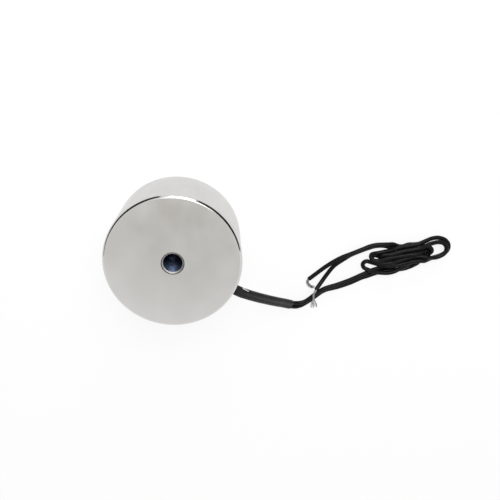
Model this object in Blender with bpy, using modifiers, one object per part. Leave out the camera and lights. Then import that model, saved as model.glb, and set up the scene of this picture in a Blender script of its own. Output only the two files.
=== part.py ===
# Round holding electromagnet with two flying leads, folded into a hank.
#
# The pot stands on its holding face. The origin is the middle of that face, +Z points to the
# mounting face with its tapped hole, and +X points to the lead exit. All sizes are in metres.

import math

import bmesh
import bpy
from mathutils import Vector

MM = 0.001

# Steel pot, turned in one piece with its centre pole: the groove for the coil leaves the pole
POT_DIAMETER = 50 * MM
POT_HEIGHT = 30 * MM
SHELL_WALL = 3.5 * MM
BACK_THICKNESS = 5 * MM
GROOVE_WIDTH = 10.5 * MM
RIM_RADIUS = 0.8 * MM
FACE_CHAMFER = 0.4 * MM
GROOVE_FILLET = 1 * MM

# M8 hole in the mounting face
TAP_DRILL = 6.8 * MM
HOLE_MOUTH = 8.4 * MM
HOLE_DEPTH = 12 * MM
DRILL_POINT = math.radians(118)

# Leads, splices and the heat-shrink sleeve
LEAD_DIAMETER = 1.8 * MM
LEAD_GAP = 0.06 * MM
SLEEVE_WALL = 0.22 * MM
SLEEVE_CLEARANCE = 0.06 * MM
LEAD_BEND = 4 * MM
EXIT_MARGIN = 0.6 * MM
EXIT_CHAMFER = 0.3 * MM
SPLICE_WALL = 0.25 * MM
SPLICE_LENGTH = 10 * MM
SPLICE_GRIP = 2 * MM
SPLICE_SETBACK = 0.16
SOLDER_DIAMETER = 1.2 * MM
SOLDER_LENGTH = 5 * MM
STRAND_DIAMETER = 0.3 * MM
STRAND_PITCH = 0.35 * MM
STRANDS_ROUND_CORE = 6

# Coil, and the angles at which a winding tail leaves its splice, crosses the tape and lands
BOBBIN_WALL = 1 * MM
WINDING_WIRE = 0.5 * MM
TAPE_THICKNESS = 0.2 * MM
TAIL_TURNS = (0.08, 0.16, 0.22)

# Potting resin
RESIN_RECESS = 0.4 * MM
RESIN_DEPTH = 2.6 * MM

# Clearances: between separate pieces, and where resin or winding lies against its neighbour
CLEARANCE = 0.3 * MM
BOND_GAP = 0.1 * MM

# Hank of folded lead
HANK_HEIGHT = 5.8 * MM
HANK_ANGLE = math.radians(42.5)

# Steps round a turned piece, a lead's bend and the hank, then roundness and stations of the tubes
TURNED_STEPS = 96
COIL_STEPS = 56
EXIT_STEPS = 32
BEND_STEPS = 5
OUTLINE_STEPS = 2
TUBE_ROUNDNESS = 2
STATION = 4 * MM
MERGE = 1e-6

# Places that follow from the sizes above
POT_RADIUS = POT_DIAMETER / 2
BORE_RADIUS = POT_RADIUS - SHELL_WALL
POLE_RADIUS = BORE_RADIUS - GROOVE_WIDTH
LEAD_RADIUS = LEAD_DIAMETER / 2
CEILING = POT_HEIGHT - BACK_THICKNESS
LEAD_OFFSET = LEAD_RADIUS + LEAD_GAP / 2
SLEEVE_BORE = LEAD_RADIUS + SLEEVE_CLEARANCE
SLEEVE_HALF_HEIGHT = SLEEVE_BORE + SLEEVE_WALL
SLEEVE_HALF_WIDTH = LEAD_OFFSET + SLEEVE_HALF_HEIGHT
EXIT_RADIUS = SLEEVE_HALF_WIDTH + CLEARANCE
EXIT_HEIGHT = CEILING - EXIT_MARGIN - EXIT_RADIUS
SPLICE_BORE = LEAD_RADIUS + SLEEVE_CLEARANCE
SPLICE_RADIUS = SPLICE_BORE + SPLICE_WALL
FLANGE_RADIUS = BORE_RADIUS - 2 * SPLICE_RADIUS - 2 * CLEARANCE
TAPE_RADIUS = FLANGE_RADIUS - CLEARANCE
CHANNEL_RADIUS = TAPE_RADIUS + CLEARANCE + SPLICE_RADIUS
WINDING_RADIUS = TAPE_RADIUS - TAPE_THICKNESS - BOND_GAP
HUB_RADIUS = POLE_RADIUS + CLEARANCE + BOBBIN_WALL
RESIN_TOP = RESIN_RECESS + RESIN_DEPTH
BOBBIN_BOTTOM = RESIN_TOP + BOND_GAP
BOBBIN_TOP = CEILING - CLEARANCE
WINDOW_BOTTOM = BOBBIN_BOTTOM + BOBBIN_WALL
WINDOW_TOP = BOBBIN_TOP - BOBBIN_WALL
WINDING_TOP = WINDOW_TOP - WINDING_WIRE - 2 * CLEARANCE
TAIL_HEIGHT = WINDING_TOP + CLEARANCE + WINDING_WIRE / 2

# Where the leads turn from the exit hole into the channel beside the coil
TURN_X = math.sqrt((CHANNEL_RADIUS + LEAD_BEND) ** 2 - (LEAD_OFFSET + LEAD_BEND) ** 2)
TURN_ANGLE = math.atan2(LEAD_OFFSET + LEAD_BEND, TURN_X)
SPLICE_START = TURN_ANGLE + SPLICE_SETBACK

# Sleeve centreline: distance out from the wall, and height as a share of the exit's height
SLEEVE_DROOP = [(4, 0.97), (9, 0.86), (15, 0.69), (21, 0.50), (26, 0.325), (29.6, 0.21)]

# Free leads and tails, in millimetres: out from the wall, sideways, and up from the floor
LEAD_A_ROUTE = [(32.71, 1.8, 3.01), (35.27, 4.48, 2.57), (36.45, 8.1, 2.5), (37.87, 11.63, 2.43),
                (40.06, 14.72, 2.31), (42.59, 17.57, 2.18), (44.9, 20.6, 2.12),
                (47.01, 23.77, 2.11), (49.15, 26.89, 1.82)]
LEAD_B_ROUTE = [(31.89, -0.52, 3.39), (34.75, 1.18, 1.89), (36.7, 4.18, 1.03),
                (37.99, 7.64, 0.92), (39.29, 11.1, 0.92), (41.59, 13.97, 0.92),
                (44.12, 16.67, 0.92), (46.42, 19.57, 0.92), (48.47, 22.64, 0.92),
                (50.39, 25.5, 0.92)]
TAIL_A_ROUTE = [(47.64, 41.7, 2.46), (44.93, 39.62, 2.43), (42.77, 36.97, 2.41),
                (40.82, 34.15, 2.51), (38.85, 31.35, 2.48), (36.9, 28.54, 2.31),
                (35.32, 25.51, 2.05), (34.1, 22.36, 1.54), (33.1, 19.12, 1.05),
                (32.08, 15.85, 0.92), (31.0, 12.6, 0.92)]
TAIL_B_ROUTE = [(48.34, 40.89, 0.92), (45.63, 38.75, 0.92), (43.45, 36.04, 0.92),
                (41.4, 33.23, 0.92), (39.53, 30.31, 0.92), (38.16, 27.11, 0.92),
                (36.87, 23.89, 0.92), (36.39, 20.46, 0.92), (36.27, 16.99, 1.11),
                (35.99, 13.73, 2.2), (35.52, 10.83, 3.2)]

# Bared conductors, in the same way, from the end of the insulation to the splayed tips
CONDUCTOR_A_ROUTE = [(30.9, 12.25, 0.92), (31.1, 10.91, 0.8), (32.38, 10.03, 0.55),
                     (33.96, 9.87, 0.5), (34.79, 10.31, 0.6), (34.65, 11.27, 0.9)]
CONDUCTOR_B_ROUTE = [(35.61, 10.47, 3.25), (35.52, 9.49, 3.75), (35.94, 8.26, 3.85),
                     (37.01, 6.84, 3.7), (38.29, 5.38, 2.6), (39.57, 3.93, 1.2),
                     (40.7, 2.66, 0.55)]
FAN_PITCH_A = 0.36 * MM
FAN_PITCH_B = 0.55 * MM

# Hank outline, in millimetres: along the hank from its tip, and across it
HANK_TIP = (45.5, 30.35)
HANK_OUTLINE = [(-0.5, -0.9), (1.0, 0.8), (2.9, 1.4), (3.3, 3.2), (4.4, 4.2), (7.1, 4.6),
                (9.3, 4.5), (9.9, 5.2), (10.6, 7.3), (12.0, 7.2), (14.6, 6.5), (16.5, 5.6),
                (19.0, 5.35), (22.0, 5.2), (25.0, 5.4), (28.1, 5.9), (31.1, 6.05), (34.1, 5.5),
                (36.4, 4.2), (37.8, 2.0), (38.2, -0.3), (37.3, -2.2), (35.6, -3.45),
                (32.6, -4.25), (29.6, -4.35), (25.8, -3.9), (23.8, -4.6), (22.1, -6.05),
                (19.8, -7.0), (16.9, -7.2), (11.6, -7.0), (8.6, -6.7), (5.6, -6.9),
                (2.8, -7.4), (1.5, -7.4), (1.1, -6.6), (1.1, -5.0), (0.9, -4.0), (0.2, -3.2),
                (-0.4, -1.9)]


# Scene, collections and materials

def clear_scene():
    for thing in list(bpy.data.objects):
        bpy.data.objects.remove(thing)


def add_collection(name):
    collection = bpy.data.collections.new(name)
    bpy.context.scene.collection.children.link(collection)
    return collection


def add_material(name, colour, roughness, metallic):
    material = bpy.data.materials.new(name)
    material.use_nodes = True
    shader = material.node_tree.nodes["Principled BSDF"]
    shader.inputs["Base Color"].default_value = (*colour, 1.0)
    shader.inputs["Roughness"].default_value = roughness
    shader.inputs["Metallic"].default_value = metallic
    return material


# Shape helpers

def finish(thing, collection, material, smooth_angle=30):
    """Link the object, give it its material and shade it smooth up to the angle in degrees."""
    collection.objects.link(thing)
    thing.data.materials.append(material)
    if thing.type == "MESH":
        thing.data.shade_smooth()
        thing.data.set_sharp_from_angle(angle=math.radians(smooth_angle))
    return thing


def fillet(corner, before, after, radius, segments=3):
    """Points of the round corner between the edges that come from before and go on to after."""
    corner, before, after = Vector(corner), Vector(before), Vector(after)
    to_before = (before - corner).normalized()
    to_after = (after - corner).normalized()
    half_angle = to_before.angle(to_after) / 2
    centre = corner + (to_before + to_after).normalized() * radius / math.sin(half_angle)
    first = corner + to_before * radius / math.tan(half_angle)
    last = corner + to_after * radius / math.tan(half_angle)
    start, end = (first - centre).normalized(), (last - centre).normalized()
    return [tuple(centre + start.slerp(end, step / segments).normalized() * radius)
            for step in range(segments + 1)]


def turned(name, profile, steps, closed=True):
    """A profile of (radius, height) points turned round Z by a Screw modifier."""
    mesh = bpy.data.meshes.new(name)
    shape = bmesh.new()
    corners = [shape.verts.new((radius, 0, height)) for radius, height in profile]
    for first, second in zip(corners, corners[1:]):
        shape.edges.new((first, second))
    if closed:
        shape.edges.new((corners[-1], corners[0]))
    shape.to_mesh(mesh)
    shape.free()
    thing = bpy.data.objects.new(name, mesh)
    screw = thing.modifiers.new("turn", "SCREW")
    screw.steps = screw.render_steps = steps
    screw.use_merge_vertices = True
    screw.merge_threshold = MERGE
    return thing


def cut(thing, cutter, cutters):
    cutters.objects.link(cutter)
    cutter.hide_render = True
    cutter.display_type = "WIRE"
    boolean = thing.modifiers.new(cutter.name, "BOOLEAN")
    boolean.operation = "DIFFERENCE"
    boolean.object = cutter


def smooth_route(points, start=0, spacing=STATION):
    """Stations along a smooth curve through the points, from the one numbered start."""
    points = [Vector(point) for point in points]
    ends = [2 * points[0] - points[1], *points, 2 * points[-1] - points[-2]]
    stations = [points[start]]
    for number in range(start + 1, len(points)):
        p0, p1, p2, p3 = ends[number - 1:number + 3]
        count = max(1, round((p2 - p1).length / spacing))
        for step in range(1, count + 1):
            t = step / count
            stations.append(0.5 * (2 * p1 + (p2 - p0) * t
                                   + (2 * p0 - 5 * p1 + 4 * p2 - p3) * t ** 2
                                   + (3 * p1 - p0 - 3 * p2 + p3) * t ** 3))
    return stations


def add_line(name, points):
    curve = bpy.data.curves.new(name, "CURVE")
    curve.dimensions = "3D"
    line = curve.splines.new("POLY")
    line.points.add(len(points) - 1)
    for spot, point in zip(line.points, points):
        spot.co = (*point, 1.0)
    return bpy.data.objects.new(name, curve)


def tube(name, points, diameter):
    thing = add_line(name, points)
    thing.data.bevel_depth = diameter / 2
    thing.data.bevel_resolution = TUBE_ROUNDNESS
    thing.data.use_fill_caps = True
    return thing


def oval_section(name, half_width, half_height, corner_steps=6):
    """A closed flat oval in the XY plane, for use as a bevel profile."""
    side = half_width - half_height
    points = []
    for centre, turn in ((side, -math.pi / 2), (-side, math.pi / 2)):
        for step in range(corner_steps + 1):
            angle = turn + math.pi * step / corner_steps
            points.append((centre + half_height * math.cos(angle), half_height * math.sin(angle), 0))
    section = add_line(name, points)
    section.data.splines[0].use_cyclic_u = True
    section.hide_render = True
    section.display_type = "WIRE"
    return section


def hollow_tube(name, points, section, wall, cutters):
    """The section swept along the points as an open skin, with its wall grown outwards."""
    guide = add_line(name + "_guide", points)
    guide.data.twist_mode = "Z_UP"
    guide.data.bevel_mode = "OBJECT"
    guide.data.bevel_object = section
    cutters.objects.link(guide)
    if section.name not in cutters.objects:
        cutters.objects.link(section)
    guide.hide_render = True
    bpy.context.view_layer.update()
    swept = guide.evaluated_get(bpy.context.evaluated_depsgraph_get())
    thing = bpy.data.objects.new(name, bpy.data.meshes.new_from_object(swept))
    shape = bmesh.new()
    shape.from_mesh(thing.data)
    bmesh.ops.remove_doubles(shape, verts=shape.verts, dist=MERGE)
    bmesh.ops.recalc_face_normals(shape, faces=shape.faces)
    shape.to_mesh(thing.data)
    shape.free()
    bpy.data.objects.remove(guide)
    shell = thing.modifiers.new("wall", "SOLIDIFY")
    shell.thickness = wall
    shell.offset = 1.0
    shell.use_even_offset = True
    return thing


def round_channel(first_angle, last_angle, side, radius=None, height=None):
    """Points along the channel beside the coil, on the +Y side or the -Y side."""
    radius = radius or CHANNEL_RADIUS
    height = height or EXIT_HEIGHT
    count = max(2, math.ceil(abs(last_angle - first_angle) * radius / (STATION / 2)))
    points = []
    for step in range(count + 1):
        angle = first_angle + (last_angle - first_angle) * step / count
        points.append(Vector((radius * math.cos(angle), side * radius * math.sin(angle), height)))
    return points


def from_wall(points):
    """Route points in millimetres out from the wall, as places in metres."""
    return [Vector((POT_RADIUS + x * MM, y * MM, z * MM)) for x, y, z in points]


# Pot

def build_pot(steel, parts, cutters):
    mouth = HOLE_MOUTH / 2
    drill = TAP_DRILL / 2
    floor = POT_HEIGHT - HOLE_DEPTH
    rim = (POT_RADIUS, POT_HEIGHT)
    profile = [
        (0, floor - drill / math.tan(DRILL_POINT / 2)),
        (drill, floor),
        (drill, POT_HEIGHT - (mouth - drill)),
        (mouth, POT_HEIGHT),
        *fillet(rim, (0, POT_HEIGHT), (POT_RADIUS, 0), RIM_RADIUS),
        (POT_RADIUS, FACE_CHAMFER),
        (POT_RADIUS - FACE_CHAMFER, 0),
        (BORE_RADIUS + FACE_CHAMFER, 0),
        (BORE_RADIUS, FACE_CHAMFER),
        *fillet((BORE_RADIUS, CEILING), (BORE_RADIUS, 0), (POLE_RADIUS, CEILING),
                GROOVE_FILLET, 2),
        *fillet((POLE_RADIUS, CEILING), (BORE_RADIUS, CEILING), (POLE_RADIUS, 0),
                GROOVE_FILLET / 2, 2),
        (POLE_RADIUS, FACE_CHAMFER),
        (POLE_RADIUS - FACE_CHAMFER, 0),
        (0, 0),
    ]
    pot = turned("pot_body", profile, TURNED_STEPS, closed=False)
    reach = 2 * MM
    exit_profile = [
        (0, reach),
        (EXIT_RADIUS + EXIT_CHAMFER + reach, reach),
        (EXIT_RADIUS, -EXIT_CHAMFER),
        (EXIT_RADIUS, -SHELL_WALL - reach / 2),
        (0, -SHELL_WALL - reach / 2),
    ]
    cutter = turned("exit_hole_cutter", exit_profile, EXIT_STEPS, closed=False)
    cutter.location = (POT_RADIUS, 0, EXIT_HEIGHT)
    cutter.rotation_euler = (0, math.pi / 2, 0)
    cut(pot, cutter, cutters)
    finish(pot, parts, steel)


# Coil and resin

def ring_profile(inner, outer, bottom, top):
    return [(inner, top), (outer, top), (outer, bottom), (inner, bottom)]


def build_coil(nylon, copper, tape, parts):
    inner = HUB_RADIUS - BOBBIN_WALL
    bobbin_profile = [
        (inner, BOBBIN_TOP),
        (FLANGE_RADIUS, BOBBIN_TOP),
        (FLANGE_RADIUS, WINDOW_TOP),
        (HUB_RADIUS, WINDOW_TOP),
        (HUB_RADIUS, WINDOW_BOTTOM),
        (FLANGE_RADIUS, WINDOW_BOTTOM),
        (FLANGE_RADIUS, BOBBIN_BOTTOM),
        (inner, BOBBIN_BOTTOM),
    ]
    finish(turned("coil_bobbin", bobbin_profile, COIL_STEPS), parts, nylon)
    bottom = WINDOW_BOTTOM + BOND_GAP
    winding = ring_profile(HUB_RADIUS + BOND_GAP, WINDING_RADIUS, bottom, WINDING_TOP)
    finish(turned("coil_winding", winding, COIL_STEPS), parts, copper)
    wrap = ring_profile(TAPE_RADIUS - TAPE_THICKNESS, TAPE_RADIUS, bottom, WINDING_TOP)
    finish(turned("coil_tape", wrap, COIL_STEPS), parts, tape)


def build_resin(resin, parts):
    inner = POLE_RADIUS + BOND_GAP
    outer = BORE_RADIUS - BOND_GAP
    skirt_inner = FLANGE_RADIUS + BOND_GAP
    skirt_top = EXIT_HEIGHT - SPLICE_RADIUS - CLEARANCE
    profile = [
        (inner, RESIN_TOP),
        (skirt_inner, RESIN_TOP),
        (skirt_inner, skirt_top),
        (outer, skirt_top),
        (outer, RESIN_RECESS),
        (inner, RESIN_RECESS),
    ]
    finish(turned("potting_resin", profile, COIL_STEPS), parts, resin)


# Splices between the winding and the leads

def build_splice(letter, side, coil_end, tail_name, looks, parts, cutters):
    length = SPLICE_LENGTH / CHANNEL_RADIUS
    grip = SPLICE_GRIP / CHANNEL_RADIUS
    joint_start = SPLICE_START + grip + CLEARANCE / CHANNEL_RADIUS
    joint_end = joint_start + SOLDER_LENGTH / CHANNEL_RADIUS
    sleeve_end = SPLICE_START + length
    joint = tube("solder_joint_" + letter, round_channel(joint_start, joint_end, side),
                 SOLDER_DIAMETER)
    finish(joint, parts, looks["solder"])
    section = oval_section("splice_section_" + letter, SPLICE_BORE, SPLICE_BORE)
    path = round_channel(SPLICE_START, sleeve_end, side)
    cover = hollow_tube("splice_sleeve_" + letter, path, section, SPLICE_WALL, cutters)
    finish(cover, parts, looks["tubing"], 50)
    wire_start = joint_end + CLEARANCE / CHANNEL_RADIUS
    leaving, crossing, landing = [sleeve_end + turn for turn in TAIL_TURNS]
    inward = [
        *round_channel(wire_start, sleeve_end, side),
        *round_channel(leaving, leaving, side, CHANNEL_RADIUS,
                       (EXIT_HEIGHT + TAIL_HEIGHT) / 2)[:1],
        *round_channel(crossing, crossing, side, TAPE_RADIUS, TAIL_HEIGHT)[:1],
        *round_channel(landing, landing, side, coil_end, TAIL_HEIGHT)[:1],
    ]
    finish(tube(tail_name, smooth_route(inward, 0, STATION / 2), WINDING_WIRE), parts,
           looks["copper"])


# Leads, sleeve and hank

def sleeve_stations():
    points = [Vector((TURN_X, 0, EXIT_HEIGHT)), Vector((POT_RADIUS, 0, EXIT_HEIGHT))]
    for out, share in SLEEVE_DROOP:
        points.append(Vector((POT_RADIUS + out * MM, 0, share * EXIT_HEIGHT)))
    return smooth_route(points)


def lead_turn(side):
    """The bend from the channel beside the coil out through the exit hole."""
    quarter = math.pi / 2 - TURN_ANGLE
    points = []
    for step in range(BEND_STEPS):
        angle = quarter * (1 - step / BEND_STEPS)
        points.append(Vector((TURN_X - LEAD_BEND * math.sin(angle),
                              side * (LEAD_OFFSET + LEAD_BEND * (1 - math.cos(angle))),
                              EXIT_HEIGHT)))
    return points


def build_lead(letter, side, route, tail_route, pvc, parts):
    grip_end = SPLICE_START + SPLICE_GRIP / CHANNEL_RADIUS
    inside = round_channel(grip_end, TURN_ANGLE, side)[:-1] + lead_turn(side)
    in_sleeve = [spot + Vector((0, side * LEAD_OFFSET, 0)) for spot in sleeve_stations()]
    free = smooth_route(in_sleeve[-2:] + from_wall(route), 1)[1:]
    finish(tube("lead_" + letter, inside + in_sleeve + free, LEAD_DIAMETER), parts, pvc)
    tail = smooth_route(from_wall(tail_route))
    finish(tube("lead_" + letter + "_tail", tail, LEAD_DIAMETER), parts, pvc)


def build_sleeve(shrink, parts, cutters):
    section = oval_section("sleeve_section", LEAD_OFFSET + SLEEVE_BORE, SLEEVE_BORE)
    sleeve = hollow_tube("lead_sleeve", sleeve_stations(), section, SLEEVE_WALL, cutters)
    finish(sleeve, parts, shrink, 50)


def build_hank(pvc, parts):
    curve = bpy.data.curves.new("lead_hank", "CURVE")
    curve.dimensions = "2D"
    curve.fill_mode = "BOTH"
    curve.extrude = (HANK_HEIGHT - CLEARANCE) / 2
    outline = curve.splines.new("BEZIER")
    outline.use_cyclic_u = True
    outline.resolution_u = OUTLINE_STEPS
    outline.bezier_points.add(len(HANK_OUTLINE) - 1)
    for spot, (along, across) in zip(outline.bezier_points, HANK_OUTLINE):
        spot.co = (along * MM, across * MM, 0)
        spot.handle_left_type = spot.handle_right_type = "AUTO"
    curve.resolution_u = OUTLINE_STEPS
    hank = bpy.data.objects.new("lead_hank", curve)
    hank.location = (POT_RADIUS + HANK_TIP[0] * MM, HANK_TIP[1] * MM, HANK_HEIGHT / 2)
    hank.rotation_euler = (0, 0, HANK_ANGLE)
    finish(hank, parts, pvc)


def strand_places(fan_pitch):
    """Where each strand lies across the bundle: packed close at first, then fanned out flat."""
    close = [(0.0, 0.0)]
    for number in range(STRANDS_ROUND_CORE):
        angle = math.tau * (number + 0.5) / STRANDS_ROUND_CORE
        close.append((STRAND_PITCH * math.cos(angle), STRAND_PITCH * math.sin(angle)))
    order = sorted(range(len(close)), key=lambda number: (close[number][0], close[number][1]))
    middle = (len(close) - 1) / 2
    return [(close[number], ((place - middle) * fan_pitch, 0.0))
            for place, number in enumerate(order)]


def build_strands(letter, route, fan_pitch, tinned, parts):
    line = smooth_route(from_wall(route), 0, STATION / 4)
    for number, (close, fanned) in enumerate(strand_places(fan_pitch), start=1):
        points = []
        for station, spot in enumerate(line):
            ahead = line[min(station + 1, len(line) - 1)] - line[max(station - 1, 0)]
            across = ahead.cross(Vector((0, 0, 1))).normalized()
            above = across.cross(ahead).normalized()
            spread = (station / (len(line) - 1)) ** 2
            sideways = close[0] + (fanned[0] - close[0]) * spread
            upwards = close[1] + (fanned[1] - close[1]) * spread
            points.append(spot + across * sideways + above * upwards)
        strand = tube("strand_" + letter + str(number), points, STRAND_DIAMETER)
        finish(strand, parts, tinned)


def build_magnet():
    clear_scene()
    parts = add_collection("holding_electromagnet")
    cutters = add_collection("cutters")
    steel = add_material("nickel_plate", (0.60, 0.59, 0.57), 0.28, 1.0)
    nylon = add_material("bobbin_nylon", (0.78, 0.76, 0.70), 0.45, 0.0)
    copper = add_material("enamelled_copper", (0.55, 0.22, 0.08), 0.3, 0.9)
    tape = add_material("coil_tape", (0.80, 0.58, 0.12), 0.4, 0.0)
    resin = add_material("potting_resin", (0.02, 0.02, 0.022), 0.35, 0.0)
    solder = add_material("solder", (0.55, 0.56, 0.58), 0.35, 1.0)
    tubing = add_material("splice_tubing", (0.75, 0.75, 0.72), 0.5, 0.0)
    pvc = add_material("lead_pvc", (0.022, 0.022, 0.024), 0.42, 0.0)
    shrink = add_material("heat_shrink", (0.035, 0.035, 0.037), 0.4, 0.0)
    tinned = add_material("tinned_copper", (0.62, 0.62, 0.60), 0.35, 1.0)
    build_pot(steel, parts, cutters)
    build_coil(nylon, copper, tape, parts)
    build_resin(resin, parts)
    looks = {"solder": solder, "tubing": tubing, "copper": copper}
    start_end = HUB_RADIUS + WINDING_WIRE
    finish_end = WINDING_RADIUS - WINDING_WIRE
    build_splice("a", 1, start_end, "winding_start_tail", looks, parts, cutters)
    build_splice("b", -1, finish_end, "winding_finish_tail", looks, parts, cutters)
    build_sleeve(shrink, parts, cutters)
    build_lead("a", 1, LEAD_A_ROUTE, TAIL_A_ROUTE, pvc, parts)
    build_lead("b", -1, LEAD_B_ROUTE, TAIL_B_ROUTE, pvc, parts)
    build_hank(pvc, parts)
    build_strands("a", CONDUCTOR_A_ROUTE, FAN_PITCH_A, tinned, parts)
    build_strands("b", CONDUCTOR_B_ROUTE, FAN_PITCH_B, tinned, parts)


build_magnet()
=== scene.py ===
# Holding electromagnet: the dressed model. Every place is in metres in the frame of the solids.
import bpy
import math
from mathutils import Matrix, Vector


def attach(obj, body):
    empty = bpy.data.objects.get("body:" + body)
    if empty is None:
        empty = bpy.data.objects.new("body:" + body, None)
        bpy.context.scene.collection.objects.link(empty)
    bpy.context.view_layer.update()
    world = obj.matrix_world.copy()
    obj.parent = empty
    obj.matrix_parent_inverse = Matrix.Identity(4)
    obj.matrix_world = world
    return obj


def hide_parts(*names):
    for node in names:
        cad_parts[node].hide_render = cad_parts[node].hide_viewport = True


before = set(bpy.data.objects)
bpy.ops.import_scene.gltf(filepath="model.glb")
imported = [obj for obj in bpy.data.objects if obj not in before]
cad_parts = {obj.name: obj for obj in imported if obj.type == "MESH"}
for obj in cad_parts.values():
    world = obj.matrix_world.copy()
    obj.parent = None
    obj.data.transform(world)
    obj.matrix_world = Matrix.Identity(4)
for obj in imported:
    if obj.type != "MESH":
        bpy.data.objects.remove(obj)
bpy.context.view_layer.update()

mm = 0.001

# Camera

cameraView = {
    "place": (-23.28, 71.19, 215.35),
    "right": (0.8416, 0.5379, 0.0483),
    "up": (-0.4918, 0.8003, -0.3430),
    "lens": 39.89,
    "sensor": 36.0,
}


def placeCamera(view):
    data = bpy.data.cameras.new("photoCamera")
    data.lens = view["lens"]
    data.sensor_width = view["sensor"]
    data.clip_start = 0.01
    data.clip_end = 20.0
    camera = bpy.data.objects.new("photoCamera", data)
    bpy.context.scene.collection.objects.link(camera)
    right = Vector(view["right"]).normalized()
    up = Vector(view["up"])
    up = (up - right * up.dot(right)).normalized()
    back = right.cross(up)
    turn = Matrix((right, up, back)).transposed().to_4x4()
    camera.matrix_world = Matrix.Translation(Vector(view["place"]) * mm) @ turn
    bpy.context.scene.camera = camera


placeCamera(cameraView)
print("camera placed")

# Handling of pieces


def takeUp(piece):  # makes it the one selected and active object
    bpy.ops.object.select_all(action="DESELECT")
    piece.select_set(True)
    bpy.context.view_layer.objects.active = piece


def finishPiece(piece, name, nodes=(), angle=30):
    takeUp(piece)
    bpy.ops.object.transform_apply(location=True, rotation=True, scale=True)
    bpy.ops.object.shade_smooth_by_angle(angle=math.radians(angle))
    piece.name = name
    piece.data.name = name
    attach(piece, "root")
    if nodes:
        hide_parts(*nodes)
    return piece


def smoothLine(points, gap, start=0):  # a smooth curve through the points, from the one numbered start
    points = [Vector(point) for point in points]
    ends = [2 * points[0] - points[1], *points, 2 * points[-1] - points[-2]]
    line = [points[start]]
    for number in range(start + 1, len(points)):
        a, b, c, d = ends[number - 1:number + 3]
        count = max(1, round((c - b).length / gap))
        for step in range(1, count + 1):
            t = step / count
            line.append(0.5 * (2 * b + (c - a) * t + (2 * a - 5 * b + 4 * c - d) * t ** 2
                               + (3 * b - a - 3 * c + d) * t ** 3))
    return line


def drawLine(name, line, closed=False):
    data = bpy.data.curves.new(name, "CURVE")
    data.dimensions = "3D"
    spline = data.splines.new("POLY")
    spline.points.add(len(line) - 1)
    for spot, point in zip(spline.points, line):
        spot.co = (*point, 1.0)
    spline.use_cyclic_u = closed
    thing = bpy.data.objects.new(name, data)
    bpy.context.scene.collection.objects.link(thing)
    return thing


def drawTube(name, line, diameter, roundness=6):  # roundness 6 gives 16 sides
    thing = drawLine(name, line)
    thing.data.bevel_depth = diameter / 2
    thing.data.bevel_resolution = roundness
    thing.data.use_fill_caps = True
    takeUp(thing)
    bpy.ops.object.convert(target="MESH")
    return bpy.context.object


# Leads, from their splices beside the coil to the cut ends of the insulation

leadRun = {
    "diameter": 1.8,
    "channelRadius": 19.69,
    "gripAngle": 0.4712,
    "turnAngle": 0.2096,
    "turnX": 23.171,
    "rootSteps": 4,
    "bend": 4.0,
    "offset": 0.93,
    "exitHeight": 21.99,
    "wall": 25.0,
    "droop": [(4, 0.97), (9, 0.86), (15, 0.69), (21, 0.50), (26, 0.325), (29.6, 0.21)],
    "gap": 0.35,
    "cutWall": 0.4,
    "cutDepth": 0.6,
    "capReach": 0.2,  # how far from the cut end the middle of its cap may lie
}

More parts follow.
